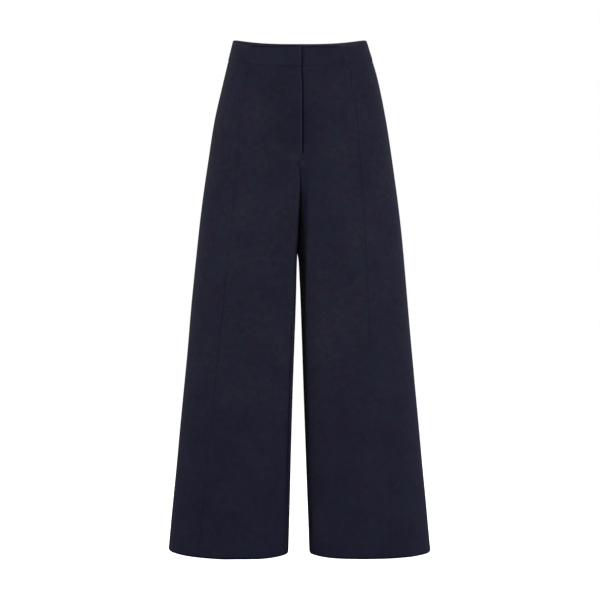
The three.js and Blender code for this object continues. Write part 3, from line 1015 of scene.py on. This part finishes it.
def record_piece(name, piece, laid, nodes, seams=2):
    """Rides and replaces one cut piece of cloth, and works out its flat size."""
    across, down = cut_lengths(laid)
    widths = across[:, -1] - across[:, 0] + seams * SEAM_ALLOWANCE
    steps = np.diff(down.mean(axis=1))
    area = float(((widths[1:] + widths[:-1]) / 2 * steps).sum())
    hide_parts(*nodes)
    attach(piece, "root")
    cloth_pieces[name] = piece


# %% Make the panels
PANEL_LENGTHS = ("hip", "thigh", "knee", "calf")
for side, net in panel_nets.items():
    _, _, front_edge, lift = fly_rows(net)
    on_leg = (net.points[:, 0, 2] < CROTCH).astype(float)
    all_rows, no_rows = np.ones_like(on_leg), np.zeros_like(on_leg)
    front_passing = all_rows if side == "right" else on_leg
    back_passing = 1 - on_leg if side == "right" else no_rows
    # Columns, distances of the two edges, and which of their rows pass the seam
    makers = (
        ("centre_front", centre_front_columns, (front_edge, net.panel_seam), (front_passing, no_rows)),
        ("side_front", side_front_columns, (net.panel_seam, net.side_seam), (all_rows, no_rows)),
        ("back", back_columns, (net.side_seam, net.end), (all_rows, back_passing)),
    )
    for kind, make_columns, edges, passing in makers:
        name = f"{kind}_{side}"
        panel_lift = lift if kind == "centre_front" else np.zeros_like(lift)
        piece, laid = make_panel(f"{name}_panel", net, make_columns(net), edges, passing, panel_lift)
        record_piece(name, piece, laid, [f"{name}_{part}" for part in PANEL_LENGTHS])

# %% [markdown]
# The waistband
# The band is a shaped strip, cut in five pieces like the panels below it, and each piece has a
# second layer inside. Real bands are turned through so that the two layers meet in a fold along the
# top edge. Each grid therefore starts at the lower edge of the inner layer, goes up, round the fold
# and down the outer layer, where its edge meets the panels in the waist seam. The inner layer has a
# painted shade deep inside, where only a little light gets, and painted light towards the fold.

# %% Net of the waistband
BAND_RADIUS = 1.2
BAND_HEIGHT = 35
BAND_DOWNS = np.array([1.2, 2.6, 3.8, 6, 10, 14, 18, 22, 26, 29, 31.4, 33.2, 34.2, 34.7, 34.96, 38.5])
FACING_ROWS = (15, 13, 9, 7, 5, 3, 2, 1, 0)
# Painted shade deep inside the inner layer, and painted light towards its top fold
FACING_SHADE_AND_LIGHT = np.array([-1, -1, -1, -0.6, 0.5, 3, 4, 4.6, 4.6])[:, None]


def band_levels():
    """Heights of the band's rows. The band is 35 mm high at the back and the sides and less in front."""
    levels = {}
    for face in FACING:
        top = top_edge(face)
        levels[face] = top + (waist_line(face) - top) * BAND_DOWNS[:, None] / BAND_HEIGHT
    return levels


band_nets = {side: Net(side, band_levels()) for side in DIRECTION}
print(f"the band's top edge is {sum(net.end[0] for net in band_nets.values()):.0f} mm round")


# %% Rows of the waistband
# Up the inner layer, round the top fold and down the outer layer. The fold's last turn is left
# out, because the first row of the inner layer lies there.
BAND_ROWS = (
    layer_rows(FACING_ROWS, 2 * BAND_RADIUS, math.pi) + fold_rows(0, BAND_RADIUS, FOLD_TURNS[-2::-1])
    + layer_rows(range(len(BAND_DOWNS) - 1))
)
print("each piece of the band has", len(BAND_ROWS), "rows, of which", len(FACING_ROWS), "lie inside")


def waist_edge(laid, laid_tones, outward, index):
    """Sinks the last rows of the band into the waist seam, in place."""
    ends = slice(len(laid) - len(SEAM_STEPS), len(laid) - 1)
    waist = waist_strength(laid[-1])[:, None]
    laid[ends] -= outward[index[ends]] * SEAM_DIPS[:0:-1][:, None, None] * waist
    laid[-1] -= outward[index[-1]] * SEAM_DIPS[0] * waist
    laid_tones[ends] += SEAM_TONES[:0:-1][:, None] * waist[:, 0]
    laid_tones[-1] += SEAM_TONES[0] * waist[:, 0]


# %% Columns of the waistband
END_DIPS = np.array([1.16, 0.62, 0.26, 0.05, 0.0])
BAND_COLUMN_SPACING = 3.6


def band_line():
    """Where the lapping end of the band lies, past the centre. Its upper corner is rounded."""
    corner = 3.0 * (1 - np.sqrt(1 - (1 - share(0, 8, BAND_DOWNS)) ** 2))
    return BAND_LAP - corner


def band_front_columns(net):
    """Columns from the turned end at the fly, where the two layers meet, to the panel seam."""
    edge = -band_line() if net.side == "right" else np.full(len(BAND_DOWNS), -float(UNDERLAP))
    columns = Columns(net)
    # The turned end at the fly gets the folded edge's wear and painted highlight
    columns.beside(edge, 1, END_DIPS, FOLD_WEAR_AND_HIGHLIGHT)
    columns.spread(edge + BESIDE_SEAM, net.panel_seam - BESIDE_SEAM, BAND_COLUMN_SPACING)
    columns.seam(net.panel_seam, -1, strength=0.7)
    return columns


def band_side_columns(net):
    columns = Columns(net)
    columns.seam(net.panel_seam, 1, strength=0.7)
    columns.spread(net.panel_seam + BESIDE_SEAM, net.side_seam - BESIDE_SEAM, BAND_COLUMN_SPACING)
    columns.seam(net.side_seam, -1)
    return columns


def band_back_columns(net):
    columns = Columns(net)
    columns.seam(net.side_seam, 1)
    columns.spread(net.side_seam + BESIDE_SEAM, net.end, BAND_COLUMN_SPACING)
    columns.add(net.end)
    return columns


# %% Make a piece of the waistband
BAND_VALLEY_DEPTH = 3.0
BAND_VALLEY_REACH = (0.39, 2.86)
UNDER_EDGE_DROP = 1.3
UNDER_EDGE_REACH = (4, 46)
# The top fold is a trace paler; the back's fold has a painted highlight, and the lapping pieces painted shade
# near the fly
TOP_TONE = 1.2
BACK_TOP_HIGHLIGHT = 4.2
LAPPED_TOP_SHADE = 3.0
LAPPED_TOP_REACH = (58, 74)


def band_places(net, columns, lapping=False):
    """Places, outward directions, dips and tones of one side's part, which may lap at the fly."""
    lengths, dips, tones = columns.arrays()
    places, outward = net.at(lengths)
    if lapping and net.side == "right":
        places[..., 1] -= BAND_LIFT * (1 - soft_share(*BAND_LIFT_REACH, lengths))
    if lapping and net.side == "left":
        fade = (1 - soft_share(*UNDER_EDGE_REACH, lengths)) * (1 - share(0, BAND_HEIGHT, BAND_DOWNS))[:, None]
        places[..., 2] -= UNDER_EDGE_DROP * fade
        # The left end sinks beside the lap, and a painted shade darkens it there
        past_lap = lengths - band_line()[:, None]
        sunk = 1 - soft_share(*BAND_VALLEY_REACH, past_lap)
        places -= outward * (BAND_VALLEY_DEPTH * sunk)[..., None]
        tones = np.minimum(tones, -sunk)
    return places, outward, dips, tones + 0.7 * front_mark(places, *FLY_DARKER_AREA)


def make_band(name, places, outward, dips, tones, top_tone, lapping=False):
    """A piece of the band. The top fold of the lapping ones has a painted shade near the fly."""
    laid = folded_places(places, outward, dips, BAND_ROWS, fold_down=False)
    index = np.array([row[0] for row in BAND_ROWS])
    laid_tones = tones[index]
    waist_edge(laid, laid_tones, outward, index)
    fold_start = len(FACING_ROWS)
    # Painted shade and light on the inner layer
    laid_tones[:fold_start] += FACING_SHADE_AND_LIGHT
    # Painted shade on the top fold of the lapping pieces near the fly
    darker = LAPPED_TOP_SHADE * lapping * (1 - soft_share(*LAPPED_TOP_REACH, laid[fold_start, :, 0]))
    laid_tones[fold_start:fold_start + len(FOLD_TURNS)] += top_tone - darker
    bm = lay_cloth(laid, np.clip(laid_tones, *BAND_TONE_LIMITS))
    last = len(laid) - 1
    up_inside = tucked_steps(laid[last], outward[index[last]], (0.5, 0.6), 6.0, 1)
    turn_under(bm, border(bm, (last, last)), up_inside, axis="down")
    face_outwards(bm, laid[::-1], outward[index[::-1]])
    return finish_cloth(name, bm), laid


# %% Make the front and side pieces of the waistband
for side, net in band_nets.items():
    grid = band_places(net, band_front_columns(net), lapping=True)
    piece, laid = make_band(f"band_front_{side}_cloth", *grid, TOP_TONE, lapping=True)
    record_piece(f"band_front_{side}", piece, laid, [f"band_front_{side}"], seams=1)
    piece, laid = make_band(f"band_side_{side}_cloth", *band_places(net, band_side_columns(net)), TOP_TONE)
    record_piece(f"band_side_{side}", piece, laid, [f"band_side_{side}"])

# %% [markdown]
# The back of the waistband
# The back of the band is one piece across the centre back. It could be two mirrored pieces with a
# seam between them, but a band is stronger without one there. So its two halves are laid as one
# grid: the right half as it comes, then the left half backwards.

# %% Make the back of the waistband
halves = [band_places(net, band_back_columns(net)) for net in band_nets.values()]
grid = [round_side(right, left) for right, left in zip(*halves)]
# The back's top fold gets the painted highlight
piece, laid = make_band("band_back_cloth", *grid, BACK_TOP_HIGHLIGHT)
record_piece("band_back", piece, laid, ["band_back"])

# %% [markdown]
# The cloth's finish
# The cloth is a dark navy with a soft, slightly brushed face. It has no shine, but it scatters a
# little light at its edges, so the sides look paler than the middle. Close up there is a fine twill
# under a short nap, and from a step away the nap leaves faint darker and paler clouds. Pressed
# edges are a trace paler, partly as wear and partly as a painted highlight, and seams sink a trace
# darker. Painted shade makes the lower legs darker and bluer and darkens the hollows and the hem's
# underside. All of it is worked out from where a point lies on the flat cut or in space, with no
# pictures.


# %% Shader sums
class Wire:
    """One output of a shader node. A sum written with it adds Math nodes."""

    def __init__(self, tree, socket=None):
        self.tree, self.socket = tree, socket

    def node(self, kind, settings=None, inputs=None, output=0):
        """Adds a node of a kind, with its settings first and then values or wires for its sockets."""
        made = self.tree.nodes.new(kind)
        for name, value in (settings or {}).items():
            setattr(made, name, value)
        for name, value in (inputs or {}).items():
            if isinstance(value, Wire):
                self.tree.links.new(value.socket, made.inputs[name])
            else:
                made.inputs[name].default_value = value
        return Wire(self.tree, made.outputs[output])

    def sum(self, operation, first, second, use_clamp=False):
        settings = {"operation": operation, "use_clamp": use_clamp}
        return self.node("ShaderNodeMath", settings, {0: first, 1: second})

    def __add__(self, other):
        return self.sum("ADD", self, other)

    def __mul__(self, other):
        return self.sum("MULTIPLY", self, other)

    __radd__, __rmul__ = __add__, __mul__


def set_sockets(shader, values):
    """Sets what is the same all over the surface."""
    for name, value in values.items():
        shader.inputs[name].default_value = value


# %% Sizes and colours of the cloth
NAVY = (0.0134, 0.0130, 0.0246, 1)
NAVY_PALE = (0.0192, 0.0187, 0.0306, 1)
NAVY_TEAL = (0.0120, 0.0164, 0.0276, 1)
NAVY_PLUM = (0.0178, 0.0136, 0.0284, 1)
# Colour of the painted shade on the lower legs
NAVY_LOW_SHADE = (0.0110, 0.0108, 0.0300, 1)
# Colours of sunk seams and painted shade, and of worn cloth and painted light
NAVY_SEAM_AND_SHADE = (0.0055, 0.0058, 0.0120, 1)
NAVY_WORN_AND_LIT = (0.0400, 0.0395, 0.0580, 1)
CLOUD_SIZE = 9 * MM
PATCH_SIZE = 60 * MM
MOTTLE_RANGE = (0.42, 0.61)
# Size and detail of each tint's clouds, where in the noise it starts and ends, and its colour
TINTS = ((30 * MM, 1, 0.46, 0.62, NAVY_TEAL), (19 * MM, 2, 0.5, 0.66, NAVY_PLUM))
TINT_STRENGTH = 0.6
# Heights between which the painted shade of the lower legs comes in, darker and bluer where less
# light falls, and its strength
LOW_LEG_SHADE = (-0.48, -0.76, 0.22)
SEAM_AND_SHADE_STRENGTH = -0.6
WEAR_AND_LIGHT_STRENGTH = 0.2
NAP_SIZE = 0.8 * MM
TWILL_PITCH = 0.9 * MM

navy_cloth = bpy.data.materials.new("navy_cloth")
navy_cloth.use_nodes = True
cloth_tree = navy_cloth.node_tree
cloth_shader = cloth_tree.nodes["Principled BSDF"]
cloth = Wire(cloth_tree)
place = cloth.node("ShaderNodeTexCoord", output="Object")
cut = cloth.node("ShaderNodeUVMap", {"uv_map": "cut"})
edge_tone = cloth.node("ShaderNodeAttribute", {"attribute_name": "edge_tone"}, output="Fac")


# %% Colour of the cloth
def cloud(size, detail, vector=place):
    """Soft cloudy noise of a size."""
    return cloth.node("ShaderNodeTexNoise", inputs={
        "Vector": vector, "Scale": 1 / size, "Detail": detail, "Roughness": 0.55,
    })


def between(value, low, high, most=1.0, interpolation="LINEAR"):
    """How far a value is on the way from low to high, times most."""
    return cloth.node("ShaderNodeMapRange", {"clamp": True, "interpolation_type": interpolation}, {
        "Value": value, "From Min": low, "From Max": high, "To Max": most,
    })


def mixed(factor, first, second):
    """A colour between two others."""
    return cloth.node("ShaderNodeMix", {"data_type": "RGBA"}, {"Factor": factor, "A": first, "B": second}, 2)


clouds = cloud(CLOUD_SIZE, 3)
mottle = 0.55 * clouds + 0.45 * cloud(PATCH_SIZE, 2)
body = mixed(between(mottle, *MOTTLE_RANGE), NAVY, NAVY_PALE)
for size, detail, low, high, colour in TINTS:
    body = mixed(between(cloud(size, detail), low, high, TINT_STRENGTH), body, colour)
level = cloth.node("ShaderNodeSeparateXYZ", inputs={"Vector": place}, output="Z")
# Painted shade: the lower legs darker and bluer towards the hems
body = mixed(between(level, *LOW_LEG_SHADE, "SMOOTHSTEP"), body, NAVY_LOW_SHADE)
# Negative tones go towards sunk seams and painted shade, positive ones towards wear and painted light
for strength, colour in ((SEAM_AND_SHADE_STRENGTH, NAVY_SEAM_AND_SHADE), (WEAR_AND_LIGHT_STRENGTH, NAVY_WORN_AND_LIT)):
    body = mixed(edge_tone.sum("MULTIPLY", edge_tone, strength, use_clamp=True), body, colour)

# %% Weave and nap of the cloth
across, down = (cloth.node("ShaderNodeSeparateXYZ", inputs={"Vector": cut}, output=axis) for axis in "XY")
diagonal = (across + down) * (2 * math.pi / TWILL_PITCH)
twill = cloth.node("ShaderNodeMath", {"operation": "SINE"}, {0: diagonal})
relief = 0.35 * twill + 1.0 * cloud(NAP_SIZE, 2, cut) + 2.5 * clouds
bump = cloth.node("ShaderNodeBump", inputs={"Height": relief, "Strength": 0.35, "Distance": 0.06 * MM})
finish = {"Base Color": body, "Roughness": 0.78 + 0.12 * mottle, "Normal": bump}
for name, wire in finish.items():
    cloth_tree.links.new(wire.socket, cloth_shader.inputs[name])
set_sockets(cloth_shader, {
    "Specular IOR Level": 0.011,
    "Sheen Weight": 0.02, "Sheen Roughness": 0.45, "Sheen Tint": (0.80, 0.84, 1.0, 1),
})
for piece in cloth_pieces.values():
    piece.data.materials.append(navy_cloth)
print(len(cloth_pieces), "pieces of cloth")

# %% [markdown]
# The studio
# A plain pale floor lies below the trousers where a wearer would stand, and a faint even light
# comes from all round. Two soft lamps stand at the sides and one in front. The side lamps make the
# edges paler than the middle, as in the photograph, and could be one wide lamp, but two can be set
# apart for the right and the left edge. Two more light the back and one hangs overhead, for the
# views that the photograph doesn't show.

# %% The floor
FLOOR_LEVEL = -1.06
floor_mesh = bmesh.new()
bmesh.ops.create_circle(floor_mesh, cap_ends=True, segments=96, radius=30)
bmesh.ops.translate(floor_mesh, verts=floor_mesh.verts[:], vec=(0, 0, FLOOR_LEVEL))
floor_data = bpy.data.meshes.new("floor")
floor_mesh.to_mesh(floor_data)
floor_mesh.free()
floor = put_in_scene("floor", floor_data)

floor_paint = bpy.data.materials.new("pale_floor")
floor_paint.use_nodes = True
set_sockets(floor_paint.node_tree.nodes["Principled BSDF"], {
    "Base Color": (0.93, 0.93, 0.93, 1), "Roughness": 0.9, "Specular IOR Level": 0.1,
    "Emission Color": (1, 1, 1, 1), "Emission Strength": 0.95,
})
floor_data.materials.append(floor_paint)
floor.visible_diffuse = False
floor.visible_glossy = False

# %% The light
AMBIENT = 0.12
world = bpy.data.worlds.new("studio")
world.use_nodes = True
seen = Wire(world.node_tree).node("ShaderNodeLightPath", output="Is Camera Ray")
backdrop = world.node_tree.nodes["Background"]
set_sockets(backdrop, {"Color": (1, 1, 1, 1)})
world.node_tree.links.new((AMBIENT + (1.0 - AMBIENT) * seen).socket, backdrop.inputs["Strength"])
bpy.context.scene.world = world


def soft_light(name, place, size, power, aim=(0, 0, -0.45)):
    """A square lamp that faces the garment."""
    data = bpy.data.lights.new(name, "AREA")
    data.shape = "SQUARE"
    data.size = size
    data.energy = power
    lamp = put_in_scene(name, data)
    lamp.location = place
    lamp.rotation_euler = (Vector(aim) - Vector(place)).to_track_quat("-Z", "Y").to_euler()


soft_light("side_left", (2.0, -0.75, -0.45), 1.2, 27)
soft_light("side_right", (-2.0, -0.7, 0.15), 1.2, 31)
soft_light("front", (0.2, -1.75, 0.0), 1.0, 19.3)
soft_light("back_left", (2.2, 2.2, 0.5), 1.6, 42)
soft_light("back_right", (-2.2, 2.2, 0.5), 1.6, 34)
soft_light("overhead", (0, 0.2, 2.6), 3.0, 24, aim=(0, 0.2, 0))

# %% [markdown]
# The camera
# The photograph was taken square from the front, level with the middle of the garment and far
# enough away for little perspective. Three metres and a 100 mm lens give the same framing.

# %% Camera
camera_data = bpy.data.cameras.new("camera")
camera_data.lens = 100
camera_data.sensor_width = 36
camera = put_in_scene("camera", camera_data)
camera.location = (0.0009, -3.0, -0.4457)
camera.rotation_euler = (math.radians(90), 0, 0)
bpy.context.scene.camera = camera
bpy.context.scene.view_settings.view_transform = "Standard"
